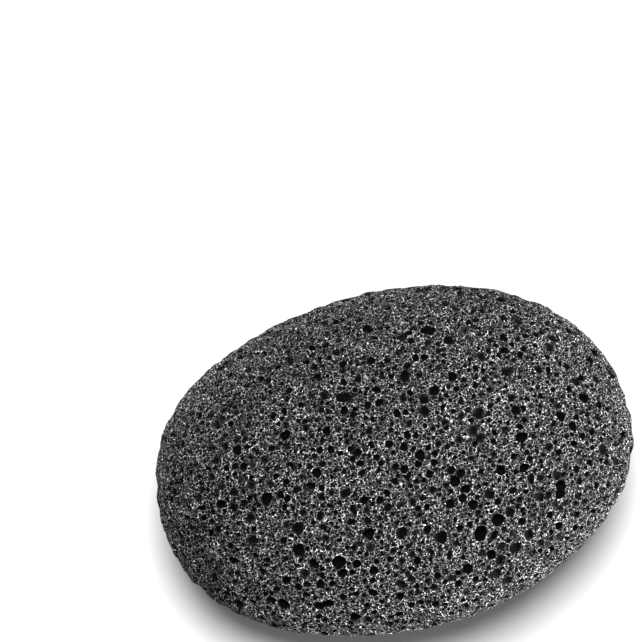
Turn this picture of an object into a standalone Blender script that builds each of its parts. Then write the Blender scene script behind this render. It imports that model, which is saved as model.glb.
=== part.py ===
"""A pumice stone: a hand-sized oval of dark, bubbly lava, worn smooth all round.

It lies on its broad underside, whose middle is rubbed level. Its length runs along X and its
width along Y. The origin is on the surface that it lies on, under the middle of its bounding box.
Lengths are in metres.
"""

import math
import random

import bmesh
import bpy
from mathutils import Vector
from mathutils.bvhtree import BVHTree

# The oval that the stone was worn to
LENGTH = 0.100
WIDTH = 0.0716
THICKNESS = 0.040
SQUARENESS = 2.12  # 2 is a true ellipsoid, and more is fuller at the shoulders
CROWN_LEAN = Vector((-0.005, 0.004, 0.0))  # how far the top lies off the middle
LEVEL_WEAR = 0.0008  # how much is rubbed off the lowest point, to a level patch

# Broad, faint bumps and hollows that keep it from being a true oval
SWELLS = 8
SWELL_LENGTHS = (0.028, 0.060)  # from crest to crest
SWELL_HEIGHT = 0.00032
SWELL_SEED = 2512

# The widest vesicles of the upper face: place of each mouth on the plan, and its diameter
UPPER_VESICLES = (
    (-29.5e-3, -26.0e-3, 2.5e-3),
    (-28.0e-3, -6.0e-3, 2.3e-3),
    (-24.0e-3, -17.0e-3, 2.5e-3),
    (-22.0e-3, -28.0e-3, 2.9e-3),
    (-17.0e-3, -21.5e-3, 2.7e-3),
    (-12.0e-3, -9.5e-3, 2.9e-3),
    (-9.5e-3, -19.5e-3, 2.5e-3),
    (0.5e-3, -9.5e-3, 2.5e-3),
    (12.0e-3, -23.0e-3, 2.7e-3),
    (12.5e-3, 20.5e-3, 2.3e-3),
    (16.0e-3, -26.5e-3, 2.5e-3),
    (18.5e-3, -23.5e-3, 2.3e-3),
    (25.0e-3, -7.0e-3, 2.5e-3),
    (27.0e-3, 14.0e-3, 2.5e-3),
    (28.0e-3, -26.5e-3, 2.3e-3),
    (30.0e-3, -18.0e-3, 2.7e-3),
    (34.0e-3, -3.5e-3, 2.3e-3),
    (40.0e-3, -0.5e-3, 2.5e-3),
)

# The widest vesicles of the flanks and the underside, which are spread by chance
FLANK_VESICLES = 22
FLANK_DIAMETERS = (2.0e-3, 2.9e-3)
FLANK_TOP = 0.018  # how high above the resting surface they reach
FLANK_SPACING = 0.007
RIM_CLEARANCE = 0.002  # between a vesicle and the level patch
VESICLE_SEED = 11

SKIN_SUBDIVISIONS = 5
VESICLE_SUBDIVISIONS = 2
CREASE_ANGLE = math.radians(35)

STONE_GREY = (0.072, 0.072, 0.073, 1.0)


def clear_scene():
    for old in list(bpy.data.objects):
        bpy.data.objects.remove(old, do_unlink=True)


def new_collection(name):
    collection = bpy.data.collections.new(name)
    bpy.context.scene.collection.children.link(collection)
    return collection


def lava_material():
    material = bpy.data.materials.new("dark_lava")
    material.use_nodes = True
    shader = material.node_tree.nodes["Principled BSDF"]
    shader.inputs["Base Color"].default_value = STONE_GREY
    shader.inputs["Roughness"].default_value = 0.95
    shader.inputs["Metallic"].default_value = 0.0
    return material


def on_oval(direction, half_sides):
    """The point of the unworn oval in this direction from its middle."""
    reach = sum(abs(part / half) ** SQUARENESS for part, half in zip(direction, half_sides))
    return direction * reach ** (-1 / SQUARENESS)


def swells():
    """Direction and phase of each swell, as a wave that runs through the stone."""
    chance = random.Random(SWELL_SEED)
    waves = []
    for _ in range(SWELLS):
        slope = chance.uniform(-1, 1)
        bearing = chance.uniform(0, 2 * math.pi)
        length = chance.uniform(*SWELL_LENGTHS)
        phase = chance.uniform(0, 2 * math.pi)
        across = math.sqrt(1 - slope**2)
        along = Vector((across * math.cos(bearing), across * math.sin(bearing), slope))
        waves.append((along * (2 * math.pi / length), phase))
    return waves


def outward_normal(point, half_sides):
    """The unworn oval's normal at this point of it."""
    slopes = []
    for part, half in zip(point, half_sides):
        slopes.append(math.copysign(abs(part / half) ** (SQUARENESS - 1) / half, part))
    return Vector(slopes).normalized()


def worn_point(direction, half_sides, waves):
    """The point of the worn skin that stands in for this direction from the oval's middle."""
    point = on_oval(direction, half_sides)
    height = SWELL_HEIGHT * sum(math.sin(along.dot(point) + phase) for along, phase in waves)
    rise = max(point.z / half_sides.z, 0.0)
    return point + outward_normal(point, half_sides) * height + CROWN_LEAN * rise**2


def stone_skin():
    """The stone's closed skin, standing on the resting surface with the origin under its middle."""
    half_sides = Vector((LENGTH, WIDTH, THICKNESS)) / 2
    waves = swells()
    skin = bmesh.new()
    bmesh.ops.create_icosphere(skin, subdivisions=SKIN_SUBDIVISIONS, radius=1.0)
    for vertex in skin.verts:
        vertex.co = worn_point(vertex.co.normalized(), half_sides, waves)
    places = [vertex.co for vertex in skin.verts]
    level = min(place.z for place in places) + LEVEL_WEAR
    middle_x = (min(p.x for p in places) + max(p.x for p in places)) / 2
    middle_y = (min(p.y for p in places) + max(p.y for p in places)) / 2
    for place in places:
        place.z = max(place.z, level)
    bmesh.ops.translate(skin, verts=skin.verts, vec=(-middle_x, -middle_y, -level))
    return skin


def mesh_object(name, built, collection):
    mesh = bpy.data.meshes.new(name)
    built.to_mesh(mesh)
    built.free()
    made = bpy.data.objects.new(name, mesh)
    collection.objects.link(made)
    return made


def upper_mouths(skin_tree):
    """Centre and radius of each listed vesicle, found by dropping its plan place on to the stone."""
    for x, y, diameter in UPPER_VESICLES:
        above = Vector((x, y, 2 * THICKNESS))
        mouth = skin_tree.ray_cast(above, Vector((0, 0, -1)))[0]
        yield mouth, diameter / 2


def flank_mouths(skin_tree):
    """Centre and radius of each vesicle of the flanks and the underside, well apart."""
    chance = random.Random(VESICLE_SEED)
    middle = Vector((0, 0, THICKNESS / 2))
    placed = []
    while len(placed) < FLANK_VESICLES:
        bearing = chance.uniform(0, 2 * math.pi)
        slope = chance.uniform(-1, 1)
        across = math.sqrt(1 - slope**2)
        outward = Vector((across * math.cos(bearing), across * math.sin(bearing), slope))
        radius = chance.uniform(*FLANK_DIAMETERS) / 2
        mouth = skin_tree.ray_cast(middle, outward)[0]
        if not radius + RIM_CLEARANCE < mouth.z < FLANK_TOP:
            continue
        if all((mouth - other).length > FLANK_SPACING for other, _ in placed):
            placed.append((mouth, radius))
    return placed


def vesicle_cutter(mouths, collection):
    """One helper that holds a ball for each vesicle, half sunk in the stone."""
    balls = bmesh.new()
    for mouth, radius in mouths:
        ball = bmesh.ops.create_icosphere(balls, subdivisions=VESICLE_SUBDIVISIONS, radius=radius)
        bmesh.ops.translate(balls, verts=ball["verts"], vec=mouth)
    cutter = mesh_object("vesicle_cutter", balls, collection)
    cutter.hide_render = True
    cutter.display_type = "WIRE"
    return cutter


def pumice_stone(parts, cutters):
    skin = stone_skin()
    skin_tree = BVHTree.FromBMesh(skin)
    stone = mesh_object("pumice_stone", skin, parts)
    stone.data.materials.append(lava_material())
    stone.data.shade_smooth()
    stone.data.set_sharp_from_angle(angle=CREASE_ANGLE)

    mouths = [*upper_mouths(skin_tree), *flank_mouths(skin_tree)]
    opening = stone.modifiers.new("open_vesicles", "BOOLEAN")
    opening.operation = "DIFFERENCE"
    opening.solver = "EXACT"
    opening.object = vesicle_cutter(mouths, cutters)
    return stone


clear_scene()
stone_parts = new_collection("pumice_stone")
stone_cutters = new_collection("cutters")
stone_cutters.hide_render = True
pumice_stone(stone_parts, stone_cutters)
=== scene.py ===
"""Looks of the pumice stone: a dark lava oval whose whole skin is cut-open bubbles.

The stone is made as the rock was. A worn oval is set out on a fine grid, bubbles of every size
are blown in it, some of them running into each other, and the skin that is left is meshed. How
deep each point lies in a pore, and how near an edge, then steer the stone's colours: deep in a
pore the colour is darkened as painted shade, and near an edge it is lightened, as lighter worn
rock with a painted highlight on it.
Lengths are in metres unless a comment says otherwise, and angles are in degrees.
"""

import math
import random

import bpy
import numpy as np
from mathutils import Matrix, Vector


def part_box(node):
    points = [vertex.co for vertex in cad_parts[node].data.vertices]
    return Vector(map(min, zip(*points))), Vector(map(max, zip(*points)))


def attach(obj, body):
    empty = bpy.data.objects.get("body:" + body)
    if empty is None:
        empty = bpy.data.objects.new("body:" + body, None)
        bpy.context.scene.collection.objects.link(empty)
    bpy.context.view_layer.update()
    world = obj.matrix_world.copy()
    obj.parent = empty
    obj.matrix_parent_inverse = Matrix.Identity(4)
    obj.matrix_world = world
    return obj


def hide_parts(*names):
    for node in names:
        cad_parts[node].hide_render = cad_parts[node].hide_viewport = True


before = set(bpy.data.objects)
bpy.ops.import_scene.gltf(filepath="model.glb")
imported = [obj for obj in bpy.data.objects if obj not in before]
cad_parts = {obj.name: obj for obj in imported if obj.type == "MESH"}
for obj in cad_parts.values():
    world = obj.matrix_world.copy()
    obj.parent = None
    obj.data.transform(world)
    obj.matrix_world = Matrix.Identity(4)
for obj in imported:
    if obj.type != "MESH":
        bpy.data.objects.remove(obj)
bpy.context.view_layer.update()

MM = 0.001
STONE_NODE = "pumice_stone"

# The oval that the stone was worn to, and the broad swells that keep it from being a true oval
HALF_SIDES = np.array([50.0, 35.8, 20.0]) * MM
SQUARENESS = 2.12
CROWN_LEAN = np.array([-5.0, 4.0, 0.0]) * MM
LEVEL_WEAR = 0.8 * MM  # the height ground off to give the level patch that it rests on
SWELLS = 8
SWELL_LENGTHS = (28.0 * MM, 60.0 * MM)
SWELL_HEIGHT = 0.32 * MM
SWELL_SEED = 2512
OVAL_SAMPLES = 100_000  # how many points of the skin its extent is measured on

# The finer unevenness of its skin
RIPPLES = 18
RIPPLE_LENGTHS = (2.6 * MM, 7.0 * MM)
RIPPLE_HEIGHT = 0.042 * MM
RIPPLE_SEED = 61

# The camera's frame and place
FRAME_PIXELS = (640, 642)
SENSOR = 36.0  # millimetres
FOCAL_PIXELS = 4050.0
STONE_PIXEL = (394.5, 460.7)  # where the oval's middle falls
CAMERA_ELEVATION = 75.0
CAMERA_AZIMUTH = -12.35
CAMERA_DISTANCE = 845.8 * MM
CLIP_START, CLIP_END = 0.1, 10

# The grid that the stone is carved on
SPACING = 0.20 * MM
MARGIN = 1.5 * MM
LEAN_ROOM = 0.2  # the share of the crown's lean that widens the oval
BAND = 3.5 * MM  # how far from the skin the distances are worked out exactly
POINTS_AT_ONCE = 1_000_000
MOST_TRIANGLES = 195_000
SHARPEST_BEND = 40.0  # the widest turn between two faces that are still shaded as one

# Every bubble: its size is a radius, and its depth is a share of that radius
BUBBLE_WALL = 0.22 * MM  # the rock left between two bubbles
WAVINESS = 0.08  # the height of each ripple in its wall, as a share of its radius
WAVES_ACROSS, WAVES_ALONG = 4.5, 3.5  # how tightly a bubble's wall is rippled, each way
PORE_DEPTH, PORE_SWELL = 0.40, 1.14  # a pore's middle lies under its mouth, and is wider
DISH_DEPTH, DISH_SWELL = -0.50, 1.15  # a dish is cut by a wider bubble that stands over the skin
LEAST_SQUEEZE, MOST_SQUEEZE = 0.75, 1.35
LEAST_READ_SQUEEZE, MOST_READ_SQUEEZE = 0.85, 1.2
LEAST_ROOM, SQUEEZE_ROOM = 1.2, 1.1  # the room worked on round it: at least, and for its squeeze
GRID_ROOM = 2  # and this many steps of the grid more
RUN_TOGETHER = 0.35  # the share of bubbles that break into their neighbours

# Bubbles blown by chance: widest and narrowest radius, and how many are tried
BUBBLE_SEED = 7
BUBBLE_SIZES = (
    (1.45 * MM, 0.95 * MM, 14_000),
    (0.95 * MM, 0.60 * MM, 130_000),
    (0.60 * MM, 0.34 * MM, 4_000_000),
)
NEAR_SKIN = 3.0 * MM  # tries further from the skin than this are left out
DEEPEST, SHALLOWEST = 0.80, -0.45  # outside these a bubble would not cut the skin well
DISH_FROM = -0.10  # bubbles cut at less depth than this are dishes
FACE_WIDEST = 0.88 * MM  # the widest deep chance bubble on the face that the read pores cover
FACE_TURN = 0.40  # a normal's cosine with the way to the camera, at that face's edge
UNDERSIDE_NARROWEST = 0.55 * MM
UNDERSIDE_TURN = -0.6  # a normal's cosine with straight up, at the underside's edge
OWN_ROOM = 0.62  # how much of its radius a new bubble's middle keeps clear of the others

# Pores of the upper face that are wide enough to tell apart: the frame's pixel that each mouth
# falls on, and its width in pixels
READ_PORES = (
    (480.5, 534, 13), (298, 550, 12), (561, 416, 11), (573, 426, 10), (516, 410, 9),
    (584, 398, 12), (590, 359, 9), (562, 486, 11), (561, 494, 10), (524, 467, 10),
    (501, 470, 9), (498, 520, 12), (491.5, 554.5, 11), (559, 526, 8), (473, 505, 9),
    (450, 504, 9), (463, 498.6, 8), (465.5, 489, 9), (455, 481, 10), (451, 470, 8),
    (461, 473, 8), (420, 455, 10), (404, 469, 8), (407, 474, 8), (389, 444, 8),
    (429, 474, 8), (364, 500, 8), (380, 500, 8), (369, 534, 11), (338.5, 562, 13),
    (357, 564, 9), (373.5, 571, 9), (342, 573, 10), (314, 563.5, 10), (373, 593, 9),
    (400, 597, 9), (319, 606, 10), (328, 604, 10), (286, 580, 9), (320, 585, 9),
    (283, 605, 12), (355, 618, 10), (400, 614.5, 10), (468, 570, 10), (522, 437, 12),
    (504, 337, 8), (504, 349, 8), (452, 376, 9), (434, 390, 9), (376, 389.5, 8),
    (379, 402, 8), (339, 397, 8), (321, 410, 7), (415, 358, 9), (424, 357, 8),
    (367, 329, 10), (409, 333, 7), (411, 340.5, 7), (428, 330, 11), (343, 363.5, 7),
    (336, 352, 7), (371, 360, 8), (335, 322, 8), (342, 320, 7), (345, 306, 7),
    (237, 450, 10), (220, 504, 9), (215, 460, 7), (266, 499, 11), (285.5, 435, 10),
    (316.5, 473, 9), (327, 431, 9), (230, 546, 7), (180, 481, 7), (173.5, 492, 7),
)
# The same for shallow dishes, whose floor catches the light
READ_DISHES = (
    (345, 493, 14), (371, 547, 12), (407, 481, 8), (503, 548, 12), (514, 534, 11),
    (559, 539, 11), (265, 460, 10), (504, 343, 8), (616, 398, 7),
)

# How a read pore's mouth is found on the skin: the ray's start, its steps, and how near is on it
AIM_START = 1.5 * HALF_SIDES[2]  # nearer the camera than the oval's middle
AIM_STEPS, AIM_STRIDE = 60, 0.8
ON_SKIN = 0.05 * MM

# The lava's finish, from wide to narrow: broad patches, coarse and fine froth, and single crumbs,
# whose pale crystal specks are lit further as painted glints
PATCH_WIDTH = 7.0 * MM
COARSE_FROTH_WIDTH = 1.10 * MM
FINE_FROTH_WIDTH = 0.70 * MM
CRUMB_WIDTH = 0.24 * MM
FROTH_DRIFT_WIDTH, FROTH_DRIFT = 0.60 * MM, 0.15 * MM
FROTH_CHAOS = 0.9  # how far the fine froth's cells are from an even grid
EDGE_REACH = 0.12 * MM
EDGE_SAMPLES = 6

# Where each feature starts and is full: walls by the distance from them, crystal glints and holes
# by chance
COARSE_WALL_FADE = (0.0, 0.06)
WALL_FADE = (0.02, 0.12)
HOLE_FADE = (0.30, 0.60)
CRYSTAL_GLINT_FADE = (0.45, 0.85)
EDGE_FADE = (0.01, 0.10)
EDGE_DEPTHS = (0.1, 0.35)  # millimetres under the skin
PORE_DEPTHS = (0.2, 1.0)  # millimetres under the skin

# What each feature does to the tone: a pair is what it adds by itself, and more on a crystal speck,
# as a painted glint
GROUND_TONE = 0.09
WALL_TONE = (0.45, 0.50)
COARSE_WALL_TONE = (0.15, 0.30)
# Pore edges are lightened, partly as lighter worn rock and partly as a painted highlight where an
# edge would catch the light
EDGE_WEAR_AND_HIGHLIGHT_TONE = (0.25, 0.50)
# Pale crystal specks are lightened further as painted glints
CRYSTAL_GLINT_TONE = 0.10
PATCH_TONE = 0.10
# The froth's open holes and the deep parts of pores are darkened as painted shade
HOLE_PAINTED_SHADE = 0.14
PORE_PAINTED_SHADE = 0.95
LAVA_LIGHTNESS = 0.29
TONE_CURVE = 2.7
DARKEST_TONE = 0.01  # the darkest that a tone gets, as deep in a pore's painted shade

# The lava's sheen and relief
LAVA_ROUGHNESS, CRYSTAL_POLISH = 0.9, 0.25
LAVA_GLOSS = 0.12
RELIEF_DEPTH, RELIEF_STRENGTH = 0.15 * MM, 0.9
HOLE_RELIEF, CRUMB_RELIEF = 0.8, 0.3

# The studio: the broad light from above, and each softbox's watts, width and place
WORLD_STRENGTH = 0.26
OVERHEAD_STRENGTH = 4.0
OVERHEAD_SPREAD = 34.0
OVERHEAD_FROM = (0.06, 0.26, 1.25)
KEY = (46, 0.5, (0.85, -0.60, 0.30))
BACK = (12, 0.5, (-0.20, 0.92, 0.45))

FLOOR_SIDE = 6.0
FLOOR_GREY = 0.86
FLOOR_ROUGHNESS = 0.9


# ---------------------------------------------------------------- the worn oval


def chance_waves(count, lengths, seed):
    """Direction and phase of each of some waves that run through the stone."""
    chance = random.Random(seed)
    along, phases = [], []
    for _ in range(count):
        slope = chance.uniform(-1, 1)
        bearing = chance.uniform(0, 2 * math.pi)
        length = chance.uniform(*lengths)
        phases.append(chance.uniform(0, 2 * math.pi))
        across = math.sqrt(1 - slope**2)
        direction = np.array([across * math.cos(bearing), across * math.sin(bearing), slope])
        along.append(direction * (2 * math.pi / length))
    return np.array(along), np.array(phases)


def height_of(waves, points):
    along, phases = waves
    return sum(np.sin(points @ way + phase) for way, phase in zip(along, phases))


SWELL_WAVES = chance_waves(SWELLS, SWELL_LENGTHS, SWELL_SEED)
RIPPLE_WAVES = chance_waves(RIPPLES, RIPPLE_LENGTHS, RIPPLE_SEED)


def swell_height(points):
    return SWELL_HEIGHT * height_of(SWELL_WAVES, points)


def gauge_of(points):
    """1 on the unworn oval, less inside it and more outside."""
    return (np.abs(points / HALF_SIDES) ** SQUARENESS).sum(1) ** (1 / SQUARENESS)


def slope_of(points):
    """The gauge's gradient on the oval's skin, which points outward."""
    share = points / HALF_SIDES
    return np.sign(share) * np.abs(share) ** (SQUARENESS - 1) / HALF_SIDES


def unit(vectors):
    return vectors / np.linalg.norm(vectors, axis=1, keepdims=True)


def worn_points(directions):
    """The worn skin's points that stand in for these directions from the oval's middle."""
    points = directions / gauge_of(directions)[:, None]
    rise = np.maximum(points[:, 2:] / HALF_SIDES[2], 0)
    return points + unit(slope_of(points)) * swell_height(points)[:, None] + CROWN_LEAN * rise**2


def even_directions(count):
    """Directions spread evenly over the sphere, on a spiral."""
    step = np.arange(count) + 0.5
    slope = 1 - 2 * step / count
    bearing = math.pi * (1 + 5**0.5) * step
    across = np.sqrt(1 - slope**2)
    return np.stack([across * np.cos(bearing), across * np.sin(bearing), slope], 1)


def oval_middle_and_level():
    """Where the oval's middle stands in the frame, and how far under it the level patch lies."""
    skin = worn_points(even_directions(OVAL_SAMPLES))
    low, high = skin.min(0), skin.max(0)
    level = low[2] + LEVEL_WEAR
    box_low, box_high = (np.array(corner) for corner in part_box(STONE_NODE))
    middle = (box_low + box_high) / 2 - (low + high) / 2
    middle[2] = box_low[2] - level
    return middle, level


OVAL_MIDDLE, LEVEL = oval_middle_and_level()


def height_over_skin(points, ripple=0.0):
    """Distance from the worn skin, negative inside the stone. Points are from the oval's middle."""
    rise = np.maximum(points[:, 2:] / HALF_SIDES[2], 0)
    upright = points - CROWN_LEAN * rise**2
    gauge = gauge_of(upright)
    foot = upright / gauge[:, None]
    off_oval = (gauge - 1) / np.linalg.norm(slope_of(foot), axis=1)
    return np.maximum(off_oval - swell_height(foot) - ripple, LEVEL - points[:, 2])


# ---------------------------------------------------------------- the camera


def camera_axes():
    """The camera's right, up and backward directions."""
    azimuth, elevation = math.radians(CAMERA_AZIMUTH), math.radians(CAMERA_ELEVATION)
    backward = np.array([
        math.sin(azimuth) * math.cos(elevation),
        -math.cos(azimuth) * math.cos(elevation),
        math.sin(elevation),
    ])
    right = np.array([math.cos(azimuth), math.sin(azimuth), 0.0])
    return right, np.cross(backward, right), backward


def camera_place():
    """The camera's position, so that the oval's middle falls on its pixel."""
    right, up, backward = camera_axes()
    across = (STONE_PIXEL[0] - FRAME_PIXELS[0] / 2) / FOCAL_PIXELS
    down = (STONE_PIXEL[1] - FRAME_PIXELS[1] / 2) / FOCAL_PIXELS
    return OVAL_MIDDLE + CAMERA_DISTANCE * (backward - right * across + up * down)


def pixel_rays(pixels):
    """Unit directions from the camera through these pixels of the frame."""
    right, up, backward = camera_axes()
    across = (pixels[:, :1] - FRAME_PIXELS[0] / 2) / FOCAL_PIXELS
    down = (pixels[:, 1:] - FRAME_PIXELS[1] / 2) / FOCAL_PIXELS
    return unit(right * across - up * down - backward)


def make_camera():
    right, up, backward = camera_axes()
    data = bpy.data.cameras.new("camera")
    data.sensor_width = SENSOR
    data.lens = FOCAL_PIXELS / max(FRAME_PIXELS) * SENSOR
    data.clip_start = CLIP_START
    data.clip_end = CLIP_END
    camera = bpy.data.objects.new("camera", data)
    axes = np.stack([right, up, backward], 1)
    camera.matrix_world = Matrix.Translation(camera_place()) @ Matrix(axes).to_4x4()
    bpy.context.scene.collection.objects.link(camera)
    bpy.context.scene.camera = camera


# ---------------------------------------------------------------- the bubbles


def bubble_height(places, radius, squeeze, chance):
    """Distance from a bubble's wavy wall. It is squeezed along a way of its own."""
    x, y, z = places
    turn = chance.uniform(0, 2 * math.pi, 2)
    along = unit(chance.standard_normal((2, 3)))
    lengthwise = x * along[0, 0] + y * along[0, 1] + z * along[0, 2]
    sideways = x * along[1, 0] + y * along[1, 1] + z * along[1, 2]
    reached = np.sqrt(x**2 + y**2 + z**2 + (squeeze**-2 - 1) * lengthwise**2)
    ripple = np.sin(WAVES_ACROSS / radius * sideways + turn[0])
    ripple = ripple + np.sin(WAVES_ALONG / radius * lengthwise + turn[1])
    return reached - radius * (1 + WAVINESS * ripple)


class Block:
    """The grid round the stone, with each point's distance from the skin and from any bubble."""

    def __init__(self):
        reach = HALF_SIDES + np.abs(CROWN_LEAN) * LEAN_ROOM + MARGIN
        self.counts = np.ceil(2 * reach / SPACING).astype(int) + 1
        self.corner = -reach
        self.skin = self.skin_heights()
        self.bubbles = np.full(self.counts, BAND, np.float32)

    def axis(self, which):
        return self.corner[which] + SPACING * np.arange(self.counts[which])

    def skin_heights(self):
        """Rough heights over the skin everywhere, and true ones in the band near it."""
        parts = [np.abs(self.axis(k) / HALF_SIDES[k]) ** SQUARENESS for k in range(3)]
        sums = parts[0][:, None, None] + parts[1][None, :, None] + parts[2][None, None, :]
        heights = ((sums ** (1 / SQUARENESS) - 1) * HALF_SIDES[2]).astype(np.float32)
        near = np.abs(heights) < BAND
        places = np.argwhere(near)
        for start in range(0, len(places), POINTS_AT_ONCE):
            some = places[start:start + POINTS_AT_ONCE]
            points = self.corner + some * SPACING
            ripple = RIPPLE_HEIGHT * height_of(RIPPLE_WAVES, points)
            heights[tuple(some.T)] = height_over_skin(points, ripple)
        return heights

    def window(self, centre, reach):
        """The part of the grid within reach of a centre, and its points' places from there."""
        low = np.maximum(((centre - reach - self.corner) / SPACING).astype(int), 0)
        high = ((centre + reach - self.corner) / SPACING).astype(int) + GRID_ROOM
        high = np.minimum(high, self.counts)
        here = tuple(slice(first, last) for first, last in zip(low, high))
        places = np.ix_(*(
            self.corner[k] + SPACING * np.arange(low[k], high[k]) - centre[k] for k in range(3)
        ))
        return here, places

    def blow(self, centre, radius, squeeze, chance):
        """Takes one bubble out, which either breaks into its neighbours or leaves a wall."""
        reach = radius * max(LEAST_ROOM, squeeze * SQUEEZE_ROOM) + SPACING * GRID_ROOM
        here, places = self.window(centre, reach)
        own = bubble_height(places, radius, squeeze, chance)
        others = self.bubbles[here]
        if chance.uniform() > RUN_TOGETHER:
            own = np.maximum(own, BUBBLE_WALL - others)
        self.bubbles[here] = np.minimum(others, own)

    def clear_of_bubbles(self, centre):
        place = tuple(((centre - self.corner) / SPACING + 0.5).astype(int))
        return self.bubbles[place]


def mouths_on_skin(pores):
    """Where each of these read pores has its mouth, from the oval's middle, and its radius."""
    pores = np.array(pores)
    rays = pixel_rays(pores[:, :2])
    start = camera_place() - OVAL_MIDDLE
    reach = np.full(len(pores), CAMERA_DISTANCE - AIM_START)
    for _ in range(AIM_STEPS):
        reach += AIM_STRIDE * height_over_skin(start + rays * reach[:, None])
    mouths = start + rays * reach[:, None]
    on_stone = np.abs(height_over_skin(mouths)) < ON_SKIN
    radii = pores[:, 2] / 2 * reach / FOCAL_PIXELS
    return mouths[on_stone], radii[on_stone]


def blow_read_pores(block, pores, depth, swell, chance):
    """A bubble at each read mouth, with its middle this share of its radius under the skin."""
    mouths, radii = mouths_on_skin(pores)
    inward = -unit(slope_of(mouths))
    for mouth, radius, way in zip(mouths, radii * swell, inward):
        squeeze = chance.uniform(LEAST_READ_SQUEEZE, MOST_READ_SQUEEZE)
        block.blow(mouth + way * radius * depth, radius, squeeze, chance)


def suits_its_place(centres, radii):
    """Which bubbles cut the skin, and are of a size that belongs on their side of the stone."""
    depths = -height_over_skin(centres) / radii
    normals = unit(slope_of(centres))
    away = normals @ camera_axes()[2] < FACE_TURN
    cut = (depths < DEEPEST) & (depths > SHALLOWEST)
    cut &= away | (radii < FACE_WIDEST) | (depths < DISH_FROM)
    return cut & ((normals[:, 2] > UNDERSIDE_TURN) | (radii > UNDERSIDE_NARROWEST))


def blow_chance_bubbles(block, chance):
    """Bubbles of falling size, spread evenly through the rock that is near the skin."""
    for widest, narrowest, tries in BUBBLE_SIZES:
        centres = chance.uniform(block.corner, -block.corner, (tries, 3))
        rough = (gauge_of(centres) - 1) * HALF_SIDES[2]
        centres = centres[np.abs(rough) < NEAR_SKIN]
        order = np.sort(chance.uniform(0, 1, len(centres)))
        radii = widest * (narrowest / widest) ** order
        squeezes = chance.uniform(LEAST_SQUEEZE, MOST_SQUEEZE, len(centres))
        cut = suits_its_place(centres, radii)
        for centre, radius, squeeze in zip(centres[cut], radii[cut], squeezes[cut]):
            if block.clear_of_bubbles(centre) > radius * OWN_ROOM + BUBBLE_WALL:
                block.blow(centre, radius, squeeze, chance)


# ---------------------------------------------------------------- the carved skin


CELL_CORNERS = np.array([(x, y, z) for x in (0, 1) for y in (0, 1) for z in (0, 1)])
CELL_EDGES = [
    (a, b)
    for a in range(8)
    for b in range(a + 1, 8)
    if np.abs(CELL_CORNERS[a] - CELL_CORNERS[b]).sum() == 1
]


def crossed_cells(inside):
    """The grid's cells that the skin runs through."""
    count = np.zeros([side - 1 for side in inside.shape], np.uint8)
    for x, y, z in CELL_CORNERS:
        count += inside[
            x:x + count.shape[0],
            y:y + count.shape[1],
            z:z + count.shape[2],
        ]
    return (count > 0) & (count < len(CELL_CORNERS))


def points_in_cells(field, cells):
    """One point in each crossed cell: the middle of where the skin crosses its edges."""
    total = np.zeros((len(cells), 3))
    hits = np.zeros(len(cells))
    values = [field[tuple((cells + corner).T)] for corner in CELL_CORNERS]
    for a, b in CELL_EDGES:
        crossed = (values[a] < 0) != (values[b] < 0)
        share = values[a][crossed] / (values[a][crossed] - values[b][crossed])
        way = CELL_CORNERS[b] - CELL_CORNERS[a]
        total[crossed] += CELL_CORNERS[a] + share[:, None] * way
        hits[crossed] += 1
    return cells + total / hits[:, None]


def quads_between_cells(inside, numbers):
    """A face round every grid edge that the skin crosses, joining the four cells about it."""
    quads = []
    for axis in range(3):
        u, v = (axis + 1) % 3, (axis + 2) % 3
        ahead = np.roll(inside, -1, axis)
        edges = np.argwhere(inside != ahead)
        edges = edges[edges[:, axis] < inside.shape[axis] - 1]
        edges = edges[(edges[:, u] > 0) & (edges[:, v] > 0)]
        step_u, step_v = np.eye(3, dtype=int)[u], np.eye(3, dtype=int)[v]
        ring = [edges - step_u - step_v, edges - step_v, edges, edges - step_u]
        quad = np.stack([numbers[tuple(place.T)] for place in ring], 1)
        leaving = inside[tuple(edges.T)]
        quad[~leaving] = quad[~leaving][:, ::-1]
        quads.append(quad)
    return np.concatenate(quads)


def largest_piece(count, faces):
    """Which points belong to the largest joined piece."""
    label = np.arange(count)
    ends = np.concatenate([faces[:, [k, (k + 1) % 4]] for k in range(4)])
    while True:
        lowest = np.minimum(label[ends[:, 0]], label[ends[:, 1]])
        before = label.copy()
        np.minimum.at(label, ends[:, 0], lowest)
        np.minimum.at(label, ends[:, 1], lowest)
        label = label[label]
        label = label[label]
        if (label == before).all():
            break
    return label == np.bincount(label).argmax()


def skin_mesh(block):
    """The carved stone's skin as a mesh.

    It has no open edges, but where the skin comes within a grid step of itself, four faces can
    share an edge.
    """
    field = np.maximum(block.skin, -block.bubbles)
    inside = field < 0
    crossed = crossed_cells(inside)
    cells = np.argwhere(crossed)
    numbers = np.full(crossed.shape, -1, np.int32)
    numbers[crossed] = np.arange(len(cells))
    points = block.corner + points_in_cells(field, cells) * SPACING
    faces = quads_between_cells(inside, numbers)
    kept = largest_piece(len(points), faces)
    faces = faces[kept[faces[:, 0]]]
    renumbered = np.cumsum(kept) - 1
    return mesh_of(points[kept] + OVAL_MIDDLE, renumbered[faces])


def mesh_of(points, quads):
    mesh = bpy.data.meshes.new("carved_skin")
    mesh.vertices.add(len(points))
    mesh.vertices.foreach_set("co", points.astype(np.float32).ravel())
    mesh.loops.add(quads.size)
    mesh.loops.foreach_set("vertex_index", quads.astype(np.int32).ravel())
    mesh.polygons.add(len(quads))
    mesh.polygons.foreach_set("loop_start", np.arange(0, quads.size, 4, dtype=np.int32))
    mesh.update(calc_edges=True)
    return mesh


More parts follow.
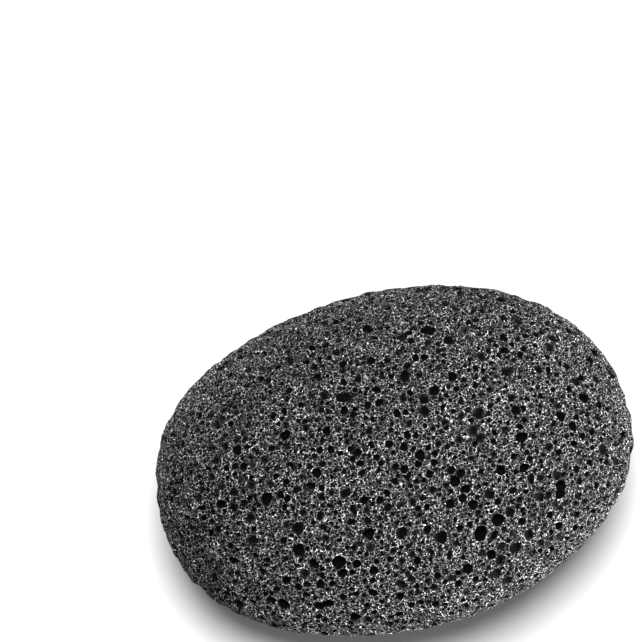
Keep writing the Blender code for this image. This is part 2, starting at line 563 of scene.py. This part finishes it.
def decimated(mesh):
    """The mesh with its flatter stretches made of fewer triangles."""
    triangles = 2 * len(mesh.polygons)
    carrier = bpy.data.objects.new("carved_skin", mesh)
    bpy.context.scene.collection.objects.link(carrier)
    if triangles > MOST_TRIANGLES:
        thin = carrier.modifiers.new("thin", "DECIMATE")
        thin.ratio = MOST_TRIANGLES / triangles
    graph = bpy.context.evaluated_depsgraph_get()
    result = bpy.data.meshes.new_from_object(carrier.evaluated_get(graph))
    bpy.data.objects.remove(carrier)
    bpy.data.meshes.remove(mesh)
    return result


def note_depth(mesh):
    """Stores how far under the worn skin each point lies, in millimetres."""
    places = np.empty(len(mesh.vertices) * 3, np.float32)
    mesh.vertices.foreach_get("co", places)
    depths = -height_over_skin(places.reshape(-1, 3).astype(float) - OVAL_MIDDLE) / MM
    layer = mesh.attributes.new("pore_depth", "FLOAT", "POINT")
    layer.data.foreach_set("value", depths.astype(np.float32))


def carve_stone():
    block = Block()
    chance = np.random.default_rng(BUBBLE_SEED)
    blow_read_pores(block, READ_PORES, PORE_DEPTH, PORE_SWELL, chance)
    blow_read_pores(block, READ_DISHES, DISH_DEPTH, DISH_SWELL, chance)
    blow_chance_bubbles(block, chance)
    mesh = decimated(skin_mesh(block))
    note_depth(mesh)
    mesh.shade_smooth()
    mesh.set_sharp_from_angle(angle=math.radians(SHARPEST_BEND))
    stone = bpy.data.objects.new("stone", mesh)
    bpy.context.scene.collection.objects.link(stone)
    return stone


# ---------------------------------------------------------------- materials


class Reading:
    """A shader socket's value, which takes part in Python sums."""

    def __init__(self, paint, socket):
        self.paint = paint
        self.socket = socket

    def sum_with(self, operation, first, second):
        return self.paint.node("ShaderNodeMath", {"operation": operation}, {0: first, 1: second})

    def __add__(self, other):
        return self.sum_with("ADD", self, other)

    def __radd__(self, other):
        return self.sum_with("ADD", other, self)

    def __sub__(self, other):
        return self.sum_with("SUBTRACT", self, other)

    def __rsub__(self, other):
        return self.sum_with("SUBTRACT", other, self)

    def __mul__(self, other):
        return self.sum_with("MULTIPLY", self, other)

    def __rmul__(self, other):
        return self.sum_with("MULTIPLY", other, self)

    def __pow__(self, other):
        return self.sum_with("POWER", self, other)

    def at_least(self, other):
        return self.sum_with("MAXIMUM", self, other)


class Paint:
    """One material and the ways to add nodes to it."""

    def __init__(self, name):
        self.material = bpy.data.materials.new(name)
        self.material.use_nodes = True
        self.tree = self.material.node_tree
        self.shader = self.tree.nodes["Principled BSDF"]

    def node(self, kind, settings=None, values=None, output=0):
        """Adds one node with its settings made first, and returns one of its outputs."""
        made = self.tree.nodes.new(kind)
        for name, setting in (settings or {}).items():
            setattr(made, name, setting)
        for name, value in (values or {}).items():
            self.feed(made.inputs[name], value)
        return Reading(self, made.outputs[output])

    def feed(self, socket, value):
        if isinstance(value, Reading):
            self.tree.links.new(value.socket, socket)
        else:
            socket.default_value = value

    def attribute(self, name):
        return self.node("ShaderNodeAttribute", {"attribute_name": name}, output="Fac")

    def fade(self, value, low, high):
        """0 where value is at low, 1 where it is at high, and smooth between."""
        settings = {"interpolation_type": "SMOOTHSTEP"}
        return self.node(
            "ShaderNodeMapRange", settings, {"Value": value, "From Min": low, "From Max": high}
        )

    def cells(self, place, width, feature="F1", output="Distance", randomness=1.0):
        settings = {"feature": feature}
        values = {"Vector": place, "Scale": 1 / width, "Randomness": randomness}
        return self.node("ShaderNodeTexVoronoi", settings, values, output)

    def noise(self, place, width, detail=2.0, output=0):
        values = {"Vector": place, "Scale": 1 / width, "Detail": detail}
        return self.node("ShaderNodeTexNoise", {}, values, output)

    def jostle(self, place, width, reach):
        """The place moved about by noise, so that what is drawn there loses its straight lines."""
        drift = self.noise(place, width, detail=1.0, output="Color")
        settings = {"operation": "MULTIPLY_ADD"}
        values = {0: drift, 1: (2 * reach,) * 3, 2: place}
        return self.node("ShaderNodeVectorMath", settings, values)

    def bend(self, reach):
        """0 on an even surface, and more where it turns within this reach, as at an edge."""
        flat = self.node("ShaderNodeNewGeometry", output="Normal")
        eased = self.node("ShaderNodeBevel", {"samples": EDGE_SAMPLES}, {"Radius": reach})
        settings = {"operation": "DOT_PRODUCT"}
        return 1 - self.node("ShaderNodeVectorMath", settings, {0: flat, 1: eased}, "Value")


class Froth:
    """The lava's fine froth as shader values, each 0 to 1."""

    def __init__(self, paint):
        place = paint.node("ShaderNodeTexCoord", output="Object")
        jostled = paint.jostle(place, FROTH_DRIFT_WIDTH, FROTH_DRIFT)
        coarse = paint.cells(jostled, COARSE_FROTH_WIDTH, "DISTANCE_TO_EDGE")
        fine = paint.cells(jostled, FINE_FROTH_WIDTH, "DISTANCE_TO_EDGE", randomness=FROTH_CHAOS)
        chance = paint.cells(jostled, FINE_FROTH_WIDTH, output="Color", randomness=FROTH_CHAOS)
        self.coarse_walls = 1 - paint.fade(coarse, *COARSE_WALL_FADE)
        self.walls = 1 - paint.fade(fine, *WALL_FADE)
        # The froth's open holes, darkened in the lava's tone as painted shade
        self.holes = (1 - self.walls) * paint.fade(chance, *HOLE_FADE)
        self.crumbs = paint.cells(place, CRUMB_WIDTH, output="Color")
        # Pale crystal specks, lightened in the lava's tone as painted glints
        self.crystal_glints = paint.fade(self.crumbs, *CRYSTAL_GLINT_FADE)
        self.patches = paint.noise(place, PATCH_WIDTH)

    # More tone on each crystal speck: a painted glint
    def with_crystal_glints(self, plain, glint_extra):
        return plain + glint_extra * self.crystal_glints


def lava_tone(paint, froth):
    """How light the lava is: pale froth walls, worn edges with a painted highlight, painted glints,
    and painted shade in holes and pores.
    """
    depth = paint.attribute("pore_depth")
    # Pore edges lightened: lighter worn rock, with a painted highlight where an edge would catch
    # the light
    edges = paint.fade(paint.bend(EDGE_REACH), *EDGE_FADE)
    edges = edges * (1 - paint.fade(depth, *EDGE_DEPTHS))
    tone = GROUND_TONE + froth.walls * froth.with_crystal_glints(*WALL_TONE) + CRYSTAL_GLINT_TONE * froth.crystal_glints
    tone = tone + froth.coarse_walls * froth.with_crystal_glints(*COARSE_WALL_TONE)
    # Painted shade in the froth's open holes; the edges are lightened as worn rock with a painted
    # highlight
    tone = tone - HOLE_PAINTED_SHADE * froth.holes + edges * froth.with_crystal_glints(*EDGE_WEAR_AND_HIGHLIGHT_TONE)
    tone = tone + PATCH_TONE * (froth.patches - 0.5)
    # Painted shade: the deeper a point lies in a pore, the darker its colour
    tone = tone * (1 - PORE_PAINTED_SHADE * paint.fade(depth, *PORE_DEPTHS))
    return LAVA_LIGHTNESS * tone.at_least(DARKEST_TONE) ** TONE_CURVE


def lava():
    paint = Paint("dark_lava")
    froth = Froth(paint)
    tone = lava_tone(paint, froth)
    colour = paint.node("ShaderNodeCombineColor", {}, {"Red": tone, "Green": tone, "Blue": tone})
    paint.feed(paint.shader.inputs["Base Color"], colour)
    roughness = LAVA_ROUGHNESS - CRYSTAL_POLISH * froth.crystal_glints
    paint.feed(paint.shader.inputs["Roughness"], roughness)
    paint.feed(paint.shader.inputs["Specular IOR Level"], LAVA_GLOSS)
    relief = froth.walls - HOLE_RELIEF * froth.holes + CRUMB_RELIEF * froth.crumbs
    values = {"Strength": RELIEF_STRENGTH, "Distance": RELIEF_DEPTH, "Height": relief}
    bump = paint.node("ShaderNodeBump", {}, values, output="Normal")
    paint.feed(paint.shader.inputs["Normal"], bump)
    return paint.material


def pale_floor():
    paint = Paint("pale_floor")
    paint.feed(paint.shader.inputs["Base Color"], (FLOOR_GREY, FLOOR_GREY, FLOOR_GREY, 1))
    paint.feed(paint.shader.inputs["Roughness"], FLOOR_ROUGHNESS)
    return paint.material


# ---------------------------------------------------------------- the stage


def make_floor():
    bpy.ops.mesh.primitive_plane_add(size=FLOOR_SIDE, location=(0, 0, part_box(STONE_NODE)[0].z))
    floor = bpy.context.object
    floor.name = "floor"
    floor.data.materials.append(pale_floor())


def hang(name, data, place):
    """Puts a lamp there, facing the stone."""
    lamp = bpy.data.objects.new(name, data)
    lamp.location = place
    lamp.rotation_euler = (-Vector(place)).to_track_quat("-Z", "Y").to_euler()
    bpy.context.scene.collection.objects.link(lamp)
    return lamp


def softbox(name, watts, width, place):
    data = bpy.data.lights.new(name, "AREA")
    data.energy = watts
    data.size = width
    return hang(name, data, place)


def overhead():
    """Broad light from above, as strong on the far floor as on the stone."""
    data = bpy.data.lights.new("overhead", "SUN")
    data.energy = OVERHEAD_STRENGTH
    data.angle = math.radians(OVERHEAD_SPREAD)
    hang("overhead", data, OVERHEAD_FROM)


def light_only(piece, lamps):
    """Keeps these lamps' light off everything else, as flags beside them would."""
    lit = bpy.data.collections.new("lit_" + piece.name)
    lit.objects.link(piece)
    for lamp in lamps:
        lamp.light_linking.receiver_collection = lit


def light_stage(stone):
    world = bpy.data.worlds.new("studio")
    world.use_nodes = True
    background = world.node_tree.nodes["Background"]
    background.inputs["Color"].default_value = (1, 1, 1, 1)
    background.inputs["Strength"].default_value = WORLD_STRENGTH
    bpy.context.scene.world = world
    overhead()
    light_only(stone, [softbox("key", *KEY), softbox("back", *BACK)])
    bpy.context.scene.view_settings.view_transform = "Standard"


make_camera()
stone = carve_stone()
stone.data.materials.append(lava())
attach(stone, "root")
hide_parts(STONE_NODE)
make_floor()
light_stage(stone)
